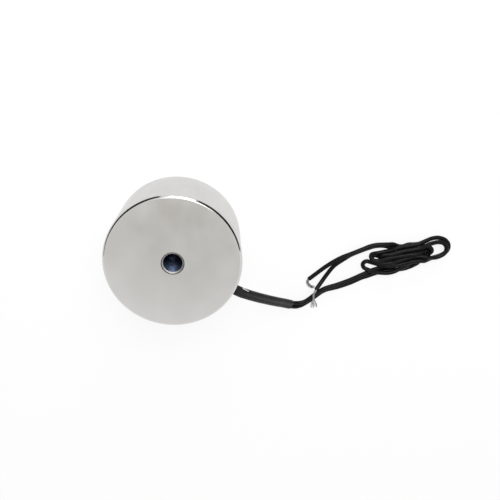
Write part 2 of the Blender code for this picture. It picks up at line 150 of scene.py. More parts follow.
leadA = {
    "side": 1,
    "length": 0.293,
    "free": [
        (55.54, 1.08, 4.04), (57.78, 1.83, 2.99), (59.7, 3.5, 2.63), (60.78, 5.85, 2.54),
        (61.53, 8.34, 2.49), (62.47, 10.77, 2.45), (63.7, 13.05, 2.39), (65.36, 15.04, 2.29),
        (67.1, 16.97, 2.2), (68.71, 19.01, 2.14), (70.27, 21.1, 2.11), (71.7, 23.27, 2.11),
        (73.07, 25.47, 2.09), (74.64, 27.48, 1.61), (76.17, 29.45, 0.96), (77.8, 31.48, 0.92),
        (79.59, 33.36, 0.92), (81.5, 35.13, 0.92), (83.41, 36.89, 0.92), (85.22, 38.76, 0.92),
        (87.03, 40.62, 0.92), (88.8, 42.53, 0.92), (90.64, 44.36, 0.92), (91.9, 46.62, 0.92),
        (92.92, 49, 0.92), (92.84, 49.89, 0.95), (92.38, 50.63, 1.09), (91.67, 51.02, 1.42),
        (90.94, 50.88, 1.91), (89.42, 49.18, 3.1), (87.67, 47.51, 4.05), (85.88, 45.7, 4.53),
        (83.95, 44, 4.18), (82.1, 42.21, 3.85), (80.2, 40.46, 3.85), (78.22, 38.82, 4.03),
        (76.34, 37.02, 4.39), (74.37, 35.39, 4.82), (73.65, 34.87, 4.73), (72.87, 34.56, 4.42),
        (72.15, 34.61, 3.89), (71.65, 35, 3.27), (71.5, 35.6, 2.68), (71.83, 36.22, 2.27),
        (73.75, 37.77, 1.87), (75.6, 39.55, 1.88), (77.28, 41.48, 2.3), (78.88, 43.71, 2.68),
        (80.65, 45.66, 2.71), (82.61, 47.37, 2.76), (84.59, 49.05, 2.73), (86.25, 51.04, 2.54),
        (87.85, 52.99, 1.94), (89.57, 54.82, 1.26), (91.64, 56.33, 0.93), (94.11, 57.07, 0.92),
        (96.27, 56.8, 0.92), (97.45, 56.07, 0.92), (98.17, 55.12, 0.92), (98.47, 54.17, 0.92),
        (98.35, 52.59, 0.92), (97.14, 50.31, 0.92), (95.37, 48.43, 1.16), (93.58, 46.89, 2.22),
        (91.9, 45.75, 3.84), (90.97, 45.27, 4.4), (88.78, 43.91, 4.45), (86.87, 42.15, 4.34),
        (85.23, 40.17, 3.95), (83.43, 38.3, 3.76), (81.49, 36.58, 3.65), (79.42, 35.06, 3.3),
        (77.21, 33.97, 2.49), (74.88, 33.14, 1.71), (72.44, 32.35, 1.3), (71.77, 31.78, 1.18),
        (71.44, 30.97, 1.08), (71.62, 30.11, 1.07), (72.25, 29.5, 1.23), (73.05, 29.25, 1.53),
        (75.36, 29.81, 2.53), (77.84, 30.52, 2.7), (80.18, 31.63, 2.76), (82.4, 32.98, 2.76),
        (84.23, 34.82, 2.77), (85.55, 37.04, 2.54), (86.74, 39.34, 2.64), (87.7, 41.75, 2.73),
        (88.58, 44.13, 2.23), (89.61, 46.18, 1.04), (90.26, 47.95, 0.92), (90.18, 48.83, 0.92),
        (89.68, 49.58, 0.92), (88.77, 50.34, 0.92), (87.92, 50.6, 0.92), (87.05, 50.44, 0.92),
        (85.03, 48.82, 0.92), (82.86, 47.4, 0.92), (81.17, 45.43, 0.92), (79.51, 44.54, 0.92),
        (77.02, 44.08, 1.38), (74.83, 43.02, 2.26), (72.62, 41.67, 2.44), (70.51, 40.16, 2.44),
        (68.73, 38.28, 2.4), (67.23, 36.15, 2.47), (65.73, 34.03, 2.51), (64.24, 31.9, 2.5),
        (62.73, 29.79, 2.4), (61.34, 27.59, 2.25), (60.22, 25.26, 2.02), (59.28, 22.87, 1.64),
        (58.49, 20.43, 1.22), (57.75, 17.95, 0.96), (56.96, 15.47, 0.92), (56.12, 13.01, 0.92),
        (55.98, 12.6, 0.92),
    ],
}

leadB = {
    "side": -1,
    "length": 0.264,
    "free": [
        (55.59, -0.77, 4.06), (57.84, -0.18, 2.9), (59.77, 1.2, 1.88), (61.2, 3.24, 1.2),
        (62.3, 5.58, 0.93), (63.12, 8.05, 0.92), (63.99, 10.5, 0.92), (65.37, 12.69, 0.92),
        (67.18, 14.55, 0.92), (68.94, 16.46, 0.92), (70.58, 18.48, 0.92), (72.14, 20.56, 0.92),
        (73.54, 22.75, 0.92), (74.93, 24.95, 0.92), (76.59, 26.95, 0.92), (78.17, 29.02, 0.92),
        (79.87, 30.98, 0.92), (81.72, 32.81, 0.92), (83.7, 34.49, 0.92), (85.8, 36.02, 0.92),
        (87.8, 37.67, 0.92), (89.43, 39.69, 0.96), (89.96, 40.91, 1.34), (90.32, 43.13, 2.6),
        (90.63, 45.7, 2.62), (91.45, 48.15, 2.6), (91.78, 49.24, 2.96), (91.78, 50.02, 3.39),
        (91.39, 50.73, 3.76), (90.68, 51.22, 3.91), (89.82, 51.4, 3.77), (89.03, 51.18, 3.43),
        (88.2, 50.48, 2.94), (86.82, 48.34, 2.57), (85.57, 46.07, 2.73), (84.18, 43.91, 2.34),
        (82.6, 41.86, 2.09), (81.03, 39.8, 2.23), (79.49, 37.76, 2.69), (78.47, 36.55, 2.51),
        (77.72, 36.12, 2.33), (76.84, 35.96, 2.29), (75.99, 36.17, 2.47), (75.38, 36.74, 2.74),
        (75.2, 37.5, 3.02), (75.49, 38.27, 3.27), (77.45, 39.85, 3.59), (79.24, 41.8, 3.71),
        (81.01, 43.75, 3.76), (82.89, 45.54, 3.79), (84.74, 47.34, 4.05), (86.48, 49.26, 4.29),
        (87.73, 51.48, 4.73), (88.24, 52.33, 4.69), (90.09, 53.77, 3.63), (92.13, 55.01, 2.61),
        (94.17, 55.67, 2.19), (95.36, 55.59, 2.15), (96.19, 55.26, 2.18), (96.88, 54.7, 2.26),
        (97.31, 53.93, 2.38), (97.48, 53.06, 2.51), (97.14, 51.51, 2.66), (95.66, 49.41, 2.81),
        (93.53, 48.16, 3.58), (91.19, 47.37, 4.33), (88.96, 46.16, 3.87), (86.95, 44.55, 3.51),
        (85.12, 42.71, 3.5), (83.34, 40.83, 3.68), (81.52, 39, 4.02), (79.68, 37.24, 4.52),
        (77.64, 35.68, 4.19), (75.41, 34.54, 3.54), (73.97, 34.23, 2.92), (73.29, 34.35, 2.36),
        (72.86, 34.76, 1.7), (72.92, 35.42, 1.18), (73.46, 35.98, 0.97), (74.35, 36.3, 0.92),
        (76.82, 36.92, 0.92), (79.23, 37.5, 0.92), (81.62, 38.46, 0.92), (83.71, 40, 0.92),
        (85.58, 41.8, 0.92), (86.96, 43.97, 0.92), (87.09, 44.85, 0.92), (86.86, 45.71, 0.92),
        (86.18, 46.27, 0.92), (85.3, 46.35, 0.92), (84.49, 45.98, 0.92), (82.61, 44.19, 0.92),
        (80.4, 42.86, 0.92), (77.85, 42.38, 0.92), (75.32, 41.83, 0.92), (72.99, 40.67, 0.92),
        (70.95, 39.07, 0.92), (69.25, 37.1, 0.92), (67.69, 35.03, 0.92), (66.17, 32.91, 0.92),
        (64.76, 30.73, 0.92), (63.68, 28.37, 0.92), (62.66, 25.98, 0.92), (61.77, 23.54, 0.92),
        (61.41, 20.96, 0.92), (61.32, 18.37, 0.94), (61.2, 15.8, 1.27), (60.91, 13.36, 2.13),
        (60.52, 10.83, 3.2),
    ],
}


def sleeveLine(run):  # the middle between the two leads, from the pot to the sleeve's end
    points = [(run["turnX"], 0, run["exitHeight"]), (run["wall"], 0, run["exitHeight"])]
    points += [(run["wall"] + out, 0, share * run["exitHeight"]) for out, share in run["droop"]]
    return points


def rootLine(run, side):  # the part of a lead that is potted inside
    points = []
    steps = run["rootSteps"]
    for step in range(steps):  # along the channel beside the coil
        angle = run["gripAngle"] + (run["turnAngle"] - run["gripAngle"]) * step / steps
        points.append((run["channelRadius"] * math.cos(angle),
                       side * run["channelRadius"] * math.sin(angle), run["exitHeight"]))
    for step in range(steps):  # round the bend to the exit hole
        angle = (math.pi / 2 - run["turnAngle"]) * (1 - step / steps)
        points.append((run["turnX"] - run["bend"] * math.sin(angle),
                       side * (run["offset"] + run["bend"] * (1 - math.cos(angle))),
                       run["exitHeight"]))
    points += [(x, side * run["offset"], z) for x, y, z in sleeveLine(run)[:2]]
    return [point * mm for point in smoothLine(points, run["gap"])]


def leadLine(run, lead):  # from the pot's wall to the cut end
    side = lead["side"]
    points = [(x, side * run["offset"], z) for x, y, z in sleeveLine(run)] + lead["free"]
    return [point * mm for point in smoothLine(points, run["gap"], start=1)]


def bareTheEnd(piece, line, run):  # the cut shows the wall of the insulation and the hole in it
    end = line[-1]
    way = (line[-1] - line[-2]).normalized()
    bpy.ops.object.mode_set(mode="EDIT")
    bpy.ops.mesh.select_all(action="DESELECT")
    bpy.ops.object.mode_set(mode="OBJECT")
    for face in piece.data.polygons:
        close = (face.center - end).length < run["capReach"] * mm
        face.select = close and len(face.vertices) > 4  # the tube's sides have four corners
    bpy.ops.object.mode_set(mode="EDIT")
    bpy.ops.mesh.select_mode(type="FACE")
    bpy.ops.mesh.inset(thickness=run["cutWall"] * mm)
    inward = way * -run["cutDepth"] * mm
    bpy.ops.mesh.extrude_region_move(TRANSFORM_OT_translate={"value": inward})
    bpy.ops.object.mode_set(mode="OBJECT")


leads = {}
leadRoots = []
for letter, lead in (("A", leadA), ("B", leadB)):
    node = "lead_" + letter.lower()
    root = drawTube("leadRoot" + letter, rootLine(leadRun, lead["side"]), leadRun["diameter"] * mm)
    leadRoots.append(finishPiece(root, "leadRoot" + letter, [node], angle=40))
    line = leadLine(leadRun, lead)
    piece = drawTube("lead" + letter, line, leadRun["diameter"] * mm)
    bareTheEnd(piece, line, leadRun)
    nodes = [node, node + "_tail", "lead_hank"]
    leads[letter] = finishPiece(piece, "lead" + letter, nodes, angle=40)
    reach = sum((after - before).length for before, after in zip(line, line[1:]))
    print("lead", letter, "is", round(reach, 4), "m long")

# Heat-shrink sleeve over both leads: a flat oval that dips a little between them

sleeveShape = {
    "halfHeight": 1.18,
    "offset": 0.93,
    "dip": 0.17,
    "wall": 0.22,
    "gap": 0.5,
    "arcSteps": 14,
    "flatSteps": 8,
    "waviness": 0.05,
    "rippleSize": 3.2,
    "rippleMiddle": 0.6,
    "cutEdge": 0.05,
    "cutEdgeAngle": 60,
}


def sleeveSection(shape):
    points = []
    for side in (1, -1):
        for step in range(shape["arcSteps"] + 1):
            angle = math.pi * step / shape["arcSteps"] - side * math.pi / 2
            points.append((side * shape["offset"] + shape["halfHeight"] * math.cos(angle),
                           shape["halfHeight"] * math.sin(angle), 0))
        for step in range(1, shape["flatSteps"]):
            across = side * shape["offset"] * (1 - 2 * step / shape["flatSteps"])
            sink = shape["dip"] * math.cos(across / shape["offset"] * math.pi / 2) ** 2
            points.append((across, side * (shape["halfHeight"] - sink), 0))
    return [Vector(point) * mm for point in points]


def makeSleeve(shape, run):
    section = drawLine("sleeveSection", sleeveSection(shape), closed=True)
    guide = drawLine("leadSleeve", [p * mm for p in smoothLine(sleeveLine(run), shape["gap"])])
    guide.data.twist_mode = "Z_UP"
    guide.data.bevel_mode = "OBJECT"
    guide.data.bevel_object = section
    takeUp(guide)
    bpy.ops.object.convert(target="MESH")
    piece = bpy.context.object
    bpy.ops.object.mode_set(mode="EDIT")
    bpy.ops.mesh.select_all(action="SELECT")
    bpy.ops.mesh.remove_doubles(threshold=0.001 * mm)
    bpy.ops.mesh.normals_make_consistent(inside=False)
    bpy.ops.object.mode_set(mode="OBJECT")
    ripple = bpy.data.textures.new("shrinkRipple", "CLOUDS")
    ripple.noise_scale = shape["rippleSize"] * mm
    ripple.noise_depth = 1
    wave = piece.modifiers.new("ripple", "DISPLACE")
    wave.texture = ripple
    wave.texture_coords = "LOCAL"
    wave.strength = shape["waviness"] * mm
    wave.mid_level = shape["rippleMiddle"]
    shell = piece.modifiers.new("wall", "SOLIDIFY")
    shell.thickness = shape["wall"] * mm
    shell.offset = -1.0
    softEdge = piece.modifiers.new("cutEdge", "BEVEL")
    softEdge.width = shape["cutEdge"] * mm
    softEdge.segments = 1
    softEdge.limit_method = "ANGLE"
    softEdge.angle_limit = math.radians(shape["cutEdgeAngle"])
    for name in ("ripple", "wall", "cutEdge"):
        bpy.ops.object.modifier_apply(modifier=name)
    bpy.data.objects.remove(section)
    return finishPiece(piece, "leadSleeve", ["lead_sleeve"], angle=50)


leadSleeve = makeSleeve(sleeveShape, leadRun)
print("sleeve shrunk on")

# Bared conductors: seven tinned strands from each lead, twisted at first, then fanned out

strandRun = {
    "diameter": 0.3,
    "pitch": 0.31,
    "start": 0.9,
    "gap": 0.25,
    "clumps": [-2.5, -1.9, -0.9, 0.25, 0.6, 1.6, 2.6],  # the strands fan out unevenly
    "cutShort": [2, 0, 3, 0, 4, 1, 3],  # steps of the gap by which each ends early
    "stray": 0.12,  # how far a strand wanders up and down at the fanned tip
    "strayStep": 2.4,
    "strayWave": 5,
    "sides": 3,  # gives 10 sides
}

conductorA = {
    "lead": "A",
    "fan": 0.30,
    "spread": 4.0,  # the higher, the later the strands fan out
    "lay": 4.2,
    "loosen": 0.75,  # how much the rope opens in its middle
    "route": [(55.9, 12.25, 0.92), (56.2, 11.3, 0.85), (57.25, 10.5, 0.75), (58.75, 10.23, 0.72),
              (59.7, 10.47, 0.75), (59.65, 11.3, 0.9)],
}

conductorB = {
    "lead": "B",
    "fan": 0.55,
    "spread": 1.05,
    "lay": 11.0,
    "loosen": 0.7,
    "route": [(60.61, 10.47, 3.25), (60.52, 9.49, 3.75), (60.94, 8.26, 3.85),
              (62.01, 6.84, 3.7), (63.29, 5.38, 2.6), (64.57, 3.93, 1.2), (65.7, 2.66, 0.55)],
}


def strandPlaces(fan, clumps):  # where each strand lies across the bundle, packed and then fanned
    close = [(0.0, 0.0)]
    for number in range(6):
        angle = math.tau * (number + 0.5) / 6
        close.append((math.cos(angle), math.sin(angle)))
    return [(spot, clump * fan) for spot, clump in zip(sorted(close), clumps)]


def makeStrands(conductor, run):
    points = [Vector(point) for point in conductor["route"]]
    inside = points[0] - (points[1] - points[0]).normalized() * run["start"]
    line = smoothLine([inside, *points], run["gap"])
    made = []
    letter = conductor["lead"]
    places = strandPlaces(conductor["fan"], run["clumps"])
    for number, (spot, fanned) in enumerate(places, start=1):
        path = []
        for station, place in enumerate(line):
            ahead = line[min(station + 1, len(line) - 1)] - line[max(station - 1, 0)]
            across = ahead.cross(Vector((0, 0, 1))).normalized()
            above = across.cross(ahead).normalized()
            share = station / (len(line) - 1)
            spread = share ** conductor["spread"]
            turn = math.tau * station * run["gap"] / conductor["lay"]
            apart = run["pitch"] * (1 + conductor["loosen"] * math.sin(math.pi * share))
            close = Vector((spot[0] * math.cos(turn) - spot[1] * math.sin(turn),
                            spot[0] * math.sin(turn) + spot[1] * math.cos(turn))) * apart
            wander = math.sin(number * run["strayStep"] + share * run["strayWave"])
            stray = run["stray"] * spread * wander
            sideways = close.x * (1 - spread) + fanned * spread
            upwards = close.y * (1 - spread) + stray
            path.append((place + across * sideways + above * upwards) * mm)
        path = path[:len(path) - run["cutShort"][number - 1]]
        name = "strand" + letter + str(number)
        piece = drawTube(name, path, run["diameter"] * mm, run["sides"])
        node = "strand_" + letter.lower() + str(number)
        made.append(finishPiece(piece, name, [node], angle=50))
    return made


strandsA = makeStrands(conductorA, strandRun)
strandsB = makeStrands(conductorB, strandRun)
print("strands bared")

# Pot: turned steel with the chamfered hole, the coil's groove and the centre pole

potShape = {
    "radius": 25.0,
    "height": 30.0,
    "bore": 21.5,
    "pole": 11.0,
    "ceiling": 25.0,
    "rimEdge": [(24.1, 0.0), (24.2, 0.02), (24.27, 0.06), (24.94, 0.73), (24.98, 0.8), (25.0, 0.9)],
    "faceChamfer": 0.4,
    "grooveFillet": 1.0,
    "mouth": 4.2,
    "mouthInner": 3.5,
    "threadRoot": 4.02,
    "mouthLand": 1.0,  # a ring of the face round the mouth
    "holeFloor": 18.0,
    "drill": 3.4,
    "drillPoint": 2.0,
    "undercut": 0.4,
    "threadEnd": 0.74,
    "filletSteps": 5,
    "poleFilletSteps": 4,
    "steps": 240,
}

exitTools = {  # what the lead exit is drilled and countersunk with
    "radius": 2.41,
    "height": 21.99,
    "drillDepth": 6.0,
    "drillBack": 1.0,
    "coneTip": 1.41,
    "coneMouth": 4.21,
    "coneDepth": 2.5,
    "coneOut": 0.25,
    "sides": 64,
}


def arcPoints(centre, radius, first, last, steps):  # angles in degrees, from straight out
    points = []
    for step in range(steps + 1):
        angle = math.radians(first + (last - first) * step / steps)
        points.append((centre[0] + radius * math.cos(angle), centre[1] + radius * math.sin(angle)))
    return points


def turnProfile(name, corners, steps, closed=False):  # draws the profile edge by edge, then spins it
    bpy.ops.object.select_all(action="DESELECT")
    bpy.ops.mesh.primitive_plane_add(size=mm, location=(0, 0, 0))
    piece = bpy.context.object
    piece.name = name
    bpy.ops.object.mode_set(mode="EDIT")
    bpy.ops.mesh.select_mode(type="VERT")
    bpy.ops.mesh.select_all(action="SELECT")
    bpy.ops.mesh.merge(type="CENTER")
    bpy.ops.transform.translate(value=(corners[0][0] * mm, 0, corners[0][1] * mm))
    way = [*corners, corners[0]] if closed else corners
    for before, after in zip(way, way[1:]):
        reach = ((after[0] - before[0]) * mm, 0, (after[1] - before[1]) * mm)
        bpy.ops.mesh.extrude_vertices_move(TRANSFORM_OT_translate={"value": reach})
    bpy.ops.mesh.select_all(action="SELECT")
    bpy.ops.mesh.spin(steps=steps, angle=math.tau, center=(0, 0, 0), axis=(0, 0, 1))
    bpy.ops.mesh.select_all(action="SELECT")
    bpy.ops.mesh.remove_doubles(threshold=0.002 * mm)
    bpy.ops.mesh.normals_make_consistent(inside=False)
    bpy.ops.object.mode_set(mode="OBJECT")
    return piece


def potProfile(pot):
    top, cut, fillet = pot["height"], pot["faceChamfer"], pot["grooveFillet"]
    ceiling, poleFillet = pot["ceiling"], fillet / 2
    return [
        (0, pot["holeFloor"] - pot["drillPoint"]),
        (pot["drill"], pot["holeFloor"]),
        (pot["threadRoot"], pot["holeFloor"] + pot["undercut"]),
        (pot["threadRoot"], top - pot["threadEnd"]),
        (pot["mouthInner"], top - (pot["mouth"] - pot["mouthInner"])),
        (pot["mouth"], top),
        (pot["mouth"] + pot["mouthLand"], top),
        *[(out, top - down) for out, down in pot["rimEdge"]],
        (pot["radius"], cut),
        (pot["radius"] - cut, 0),
        (pot["bore"] + cut, 0),
        (pot["bore"], cut),
        *arcPoints((pot["bore"] - fillet, ceiling - fillet), fillet, 0, 90, pot["filletSteps"]),
        *arcPoints((pot["pole"] + poleFillet, ceiling - poleFillet), poleFillet, 90, 180,
                   pot["poleFilletSteps"]),
        (pot["pole"], cut),
        (pot["pole"] - cut, 0),
        (0, 0),
    ]


def drillExit(piece, pot, tools):  # the chamfered hole that the sleeve comes out of
    bpy.ops.mesh.primitive_cylinder_add(
        vertices=tools["sides"], radius=tools["radius"] * mm, depth=tools["drillDepth"] * mm,
        location=((pot["radius"] - tools["drillBack"]) * mm, 0, tools["height"] * mm),
        rotation=(0, math.pi / 2, 0))
    drill = bpy.context.object
    bpy.ops.mesh.primitive_cone_add(
        vertices=tools["sides"], radius1=tools["coneTip"] * mm, radius2=tools["coneMouth"] * mm,
        depth=tools["coneDepth"] * mm,
        location=((pot["radius"] + tools["coneOut"]) * mm, 0, tools["height"] * mm),
        rotation=(0, math.pi / 2, 0))
    countersink = bpy.context.object
    for cutter in (drill, countersink):
        takeUp(piece)
        hole = piece.modifiers.new("exit", "BOOLEAN")
        hole.operation = "DIFFERENCE"
        hole.solver = "EXACT"
        hole.object = cutter
        bpy.ops.object.modifier_apply(modifier="exit")
        bpy.data.objects.remove(cutter)


potBody = turnProfile("potBody", potProfile(potShape), potShape["steps"])
drillExit(potBody, potShape, exitTools)
finishPiece(potBody, "potBody", ["pot_body"], angle=25)
print("pot turned")

# Thread: one sheet wound round the hole from the drill point up to the chamfer

threadShape = {
    "pitch": 1.25,
    "crest": 3.36,
    "root": 4.0,
    "bottom": 18.5,
    "top": 29.25,
    "drillPoint": [(0.02, 16.04), (3.38, 18.04)],
    "steepness": 1.25,  # of the flanks, more than 1 leaves a flat at crest and root
    "around": 120,
    "rows": 110,
}


def makeThread(thread):
    rows, steep = thread["rows"], thread["steepness"]
    bpy.ops.object.select_all(action="DESELECT")
    bpy.ops.mesh.primitive_grid_add(x_subdivisions=thread["around"], y_subdivisions=rows,
                                    size=2, location=(0, 0, 0))
    piece = bpy.context.object
    for spot in piece.data.vertices:
        angle = (spot.co.x + 1) * math.pi
        row = round((spot.co.y + 1) / 2 * rows)
        height = thread["bottom"] + (thread["top"] - thread["bottom"]) * (row - 2) / (rows - 2)
        phase = (height / thread["pitch"] + angle / math.tau) % 1
        depth = min(1, max(0, steep * (1 - abs(2 * phase - 1)) - (steep - 1) / 2))
        radius = thread["crest"] + (thread["root"] - thread["crest"]) * depth
        if row < 2:
            radius, height = thread["drillPoint"][row]
        spot.co = Vector((radius * math.cos(angle), radius * math.sin(angle), height)) * mm
    bpy.ops.object.mode_set(mode="EDIT")
    bpy.ops.mesh.select_all(action="SELECT")
    bpy.ops.mesh.remove_doubles(threshold=0.002 * mm)
    bpy.ops.object.mode_set(mode="OBJECT")
    middle = piece.data.polygons[len(piece.data.polygons) // 2]
    if middle.normal.dot(Vector((middle.center.x, middle.center.y, 0))) > 0:
        bpy.ops.object.mode_set(mode="EDIT")
        bpy.ops.mesh.select_all(action="SELECT")
        bpy.ops.mesh.flip_normals()
        bpy.ops.object.mode_set(mode="OBJECT")
    return finishPiece(piece, "mountingThread", angle=40)


mountingThread = makeThread(threadShape)
print("thread cut")

# Potting resin: cast into the groove, with a meniscus up both walls

resinShape = {
    "inner": 11.03,
    "outer": 21.47,
    "level": 0.42,
    "climb": 0.22,
    "climbSpan": 1.2,
    "climbSteps": 6,
    "back": 3.0,
    "steps": 160,
}


def makeResin(resin):
    shares = [step / resin["climbSteps"] for step in range(resin["climbSteps"] + 1)]
    rise = [(resin["climbSpan"] * share, resin["level"] - resin["climb"] * (1 - share) ** 2)
            for share in shares]
    profile = [(resin["inner"] + across, height) for across, height in rise]
    profile += [(resin["outer"] - across, height) for across, height in reversed(rise)]
    profile += [(resin["outer"], resin["back"]), (resin["inner"], resin["back"])]
    piece = turnProfile("pottingResin", profile, resin["steps"], closed=True)
    return finishPiece(piece, "pottingResin", ["potting_resin"], angle=35)


pottingResin = makeResin(resinShape)
print("resin cast")

# Shared shader groups


def newGroup(name, inputs, outputs):
    group = bpy.data.node_groups.new(name, "ShaderNodeTree")
    for label, kind, value in inputs:
        socket = group.interface.new_socket(name=label, in_out="INPUT", socket_type=kind)
        if value is not None:
            socket.default_value = value
    for label, kind in outputs:
        group.interface.new_socket(name=label, in_out="OUTPUT", socket_type=kind)
    return group, group.nodes.new("NodeGroupInput"), group.nodes.new("NodeGroupOutput")


def makeMottleGroup():  # a soft cloudy value between Low and High
    group, given, result = newGroup(
        "softMottle",
        [("Vector", "NodeSocketVector", None), ("Scale", "NodeSocketFloat", 200.0),
         ("Detail", "NodeSocketFloat", 3.0), ("Low", "NodeSocketFloat", 0.0),
         ("High", "NodeSocketFloat", 1.0)],
        [("Value", "NodeSocketFloat")])
    noise = group.nodes.new("ShaderNodeTexNoise")
    spread = group.nodes.new("ShaderNodeMapRange")
    spread.inputs["From Min"].default_value = 0.3
    spread.inputs["From Max"].default_value = 0.7
    group.links.new(given.outputs["Vector"], noise.inputs["Vector"])
    group.links.new(given.outputs["Scale"], noise.inputs["Scale"])
    group.links.new(given.outputs["Detail"], noise.inputs["Detail"])
    group.links.new(noise.outputs["Fac"], spread.inputs["Value"])
    group.links.new(given.outputs["Low"], spread.inputs["To Min"])
    group.links.new(given.outputs["High"], spread.inputs["To Max"])
    group.links.new(spread.outputs["Result"], result.inputs["Value"])
    return group


def makeDustGroup():  # pale dust in patches over a colour
    group, given, result = newGroup(
        "dustFilm",
        [("Vector", "NodeSocketVector", None), ("Color", "NodeSocketColor", (0.5, 0.5, 0.5, 1)),
         ("Dust", "NodeSocketColor", (0.4, 0.39, 0.37, 1)), ("Amount", "NodeSocketFloat", 0.1),
         ("Scale", "NodeSocketFloat", 900.0)],
        [("Color", "NodeSocketColor"), ("Cover", "NodeSocketFloat")])
    noise = group.nodes.new("ShaderNodeTexNoise")
    noise.inputs["Detail"].default_value = 6.0
    noise.inputs["Roughness"].default_value = 0.65
    patch = group.nodes.new("ShaderNodeMapRange")
    patch.inputs["From Min"].default_value = 0.48
    patch.inputs["From Max"].default_value = 0.72
    cover = group.nodes.new("ShaderNodeMath")
    cover.operation = "MULTIPLY"
    mix = group.nodes.new("ShaderNodeMix")
    mix.data_type = "RGBA"
    group.links.new(given.outputs["Vector"], noise.inputs["Vector"])
    group.links.new(given.outputs["Scale"], noise.inputs["Scale"])
    group.links.new(noise.outputs["Fac"], patch.inputs["Value"])
    group.links.new(patch.outputs["Result"], cover.inputs[0])
    group.links.new(given.outputs["Amount"], cover.inputs[1])
    group.links.new(cover.outputs["Value"], mix.inputs["Factor"])
    group.links.new(given.outputs["Color"], mix.inputs[6])
    group.links.new(given.outputs["Dust"], mix.inputs[7])
    group.links.new(mix.outputs[2], result.inputs["Color"])
    group.links.new(cover.outputs["Value"], result.inputs["Cover"])
    return group


def makeTurningGroup():  # fine rings round the axis, as a lathe tool leaves them
    group, given, result = newGroup(
        "turningMarks",
        [("Vector", "NodeSocketVector", None), ("Pitch", "NodeSocketFloat", 5000.0)],
        [("Height", "NodeSocketFloat")])
    apart = group.nodes.new("ShaderNodeSeparateXYZ")
    flat = group.nodes.new("ShaderNodeCombineXYZ")
    reach = group.nodes.new("ShaderNodeVectorMath")
    reach.operation = "LENGTH"
    rings = group.nodes.new("ShaderNodeCombineXYZ")
    noise = group.nodes.new("ShaderNodeTexNoise")
    noise.inputs["Detail"].default_value = 2.0
    group.links.new(given.outputs["Vector"], apart.inputs["Vector"])
    group.links.new(apart.outputs["X"], flat.inputs["X"])
    group.links.new(apart.outputs["Y"], flat.inputs["Y"])
    group.links.new(flat.outputs["Vector"], reach.inputs[0])
    group.links.new(reach.outputs["Value"], rings.inputs["X"])
    group.links.new(apart.outputs["Z"], rings.inputs["Y"])
    group.links.new(rings.outputs["Vector"], noise.inputs["Vector"])
    group.links.new(given.outputs["Pitch"], noise.inputs["Scale"])
    group.links.new(noise.outputs["Fac"], result.inputs["Height"])
    return group


softMottle = makeMottleGroup()
dustFilm = makeDustGroup()
turningMarks = makeTurningGroup()

# Materials


def newMaterial(name, constants):  # a bare Principled material and its Object coordinates
    material = bpy.data.materials.new(name)
    material.use_nodes = True
    tree = material.node_tree
    shader = tree.nodes["Principled BSDF"]
    for label, value in constants.items():
        shader.inputs[label].default_value = value
    place = tree.nodes.new("ShaderNodeTexCoord")
    return material, tree, shader, place.outputs["Object"]


def addGroup(tree, group, place, **values):
    node = tree.nodes.new("ShaderNodeGroup")
    node.node_tree = group
    tree.links.new(place, node.inputs["Vector"])
    for label, value in values.items():
        node.inputs[label].default_value = value
    return node


def addMath(tree, operation, *values):  # each may be a socket or a number
    node = tree.nodes.new("ShaderNodeMath")
    node.operation = operation
    for number, value in enumerate(values):
        if isinstance(value, (int, float)):
            node.inputs[number].default_value = value
        else:
            tree.links.new(value, node.inputs[number])
    return node.outputs["Value"]


def addTint(tree, factor, under, tint):  # under may be a socket or a colour
    mix = tree.nodes.new("ShaderNodeMix")
    mix.data_type = "RGBA"
    tree.links.new(factor, mix.inputs["Factor"])
    if isinstance(under, tuple):
        mix.inputs[6].default_value = under
    else:
        tree.links.new(under, mix.inputs[6])
    mix.inputs[7].default_value = tint
    return mix.outputs[2]


def addSheen(tree, factor, under, rough):  # another roughness where the factor is 1
    mix = tree.nodes.new("ShaderNodeMix")
    tree.links.new(factor, mix.inputs["Factor"])
    tree.links.new(under, mix.inputs["A"])
    mix.inputs["B"].default_value = rough
    return mix.outputs["Result"]


def addBump(tree, shader, height, depth):  # depth in millimetres
    bump = tree.nodes.new("ShaderNodeBump")
    bump.inputs["Strength"].default_value = 1.0
    bump.inputs["Distance"].default_value = depth * mm
    tree.links.new(height, bump.inputs["Height"])
    tree.links.new(bump.outputs["Normal"], shader.inputs["Normal"])


def addCoat(tree, shader, place, look):  # an uneven sheen, and a dusty colour that is handed back
    amount, scale = look["dusty"]
    film = addGroup(tree, dustFilm, place, Color=look["tone"], Dust=look["dust"], Amount=amount,
                    Scale=scale)
    scale, low, high = look["rough"]
    rough = addGroup(tree, softMottle, place, Scale=scale, Low=low, High=high)
    tree.links.new(rough.outputs["Value"], shader.inputs["Roughness"])
    return film.outputs["Color"]


# In every look below, dusty is the dust's amount and scale, rough is the sheen's scale, lowest and
# highest, and grain is the bump's scale, detail and depth in millimetres

nickelLook = {
    "plate": (0.665, 0.66, 0.65, 1),
    "cloud": (0.625, 0.615, 0.60, 1),
    "cloudScale": 75.0,
    "paintedMouthShade": (0.20, 0.20, 0.195, 1),  # painted shade at the hole's mouth, which dims the countersink's reflection
    "mouthShadeReach": 4.25,
    "mouthShadeHeight": 28.0,
    "mouthShadeBreakup": (420.0, 0.26, 0.65),
    "paintedLipShade": (0.07, 0.07, 0.065, 1),  # painted shade: a dark line on the countersink's outer edge
    "lipShadeReach": 3.97,
    "rough": (120.0, 0.285, 0.36),
    "mouthRough": 0.62,  # the countersink is cut coarser
    "edgeRough": 0.12,  # and the turned edge smoother than the faces
    "edgeStart": 24.12,
    "edgeHeight": 29.05,
    "marks": 0.0005,
    "markPitch": 1800.0,
}


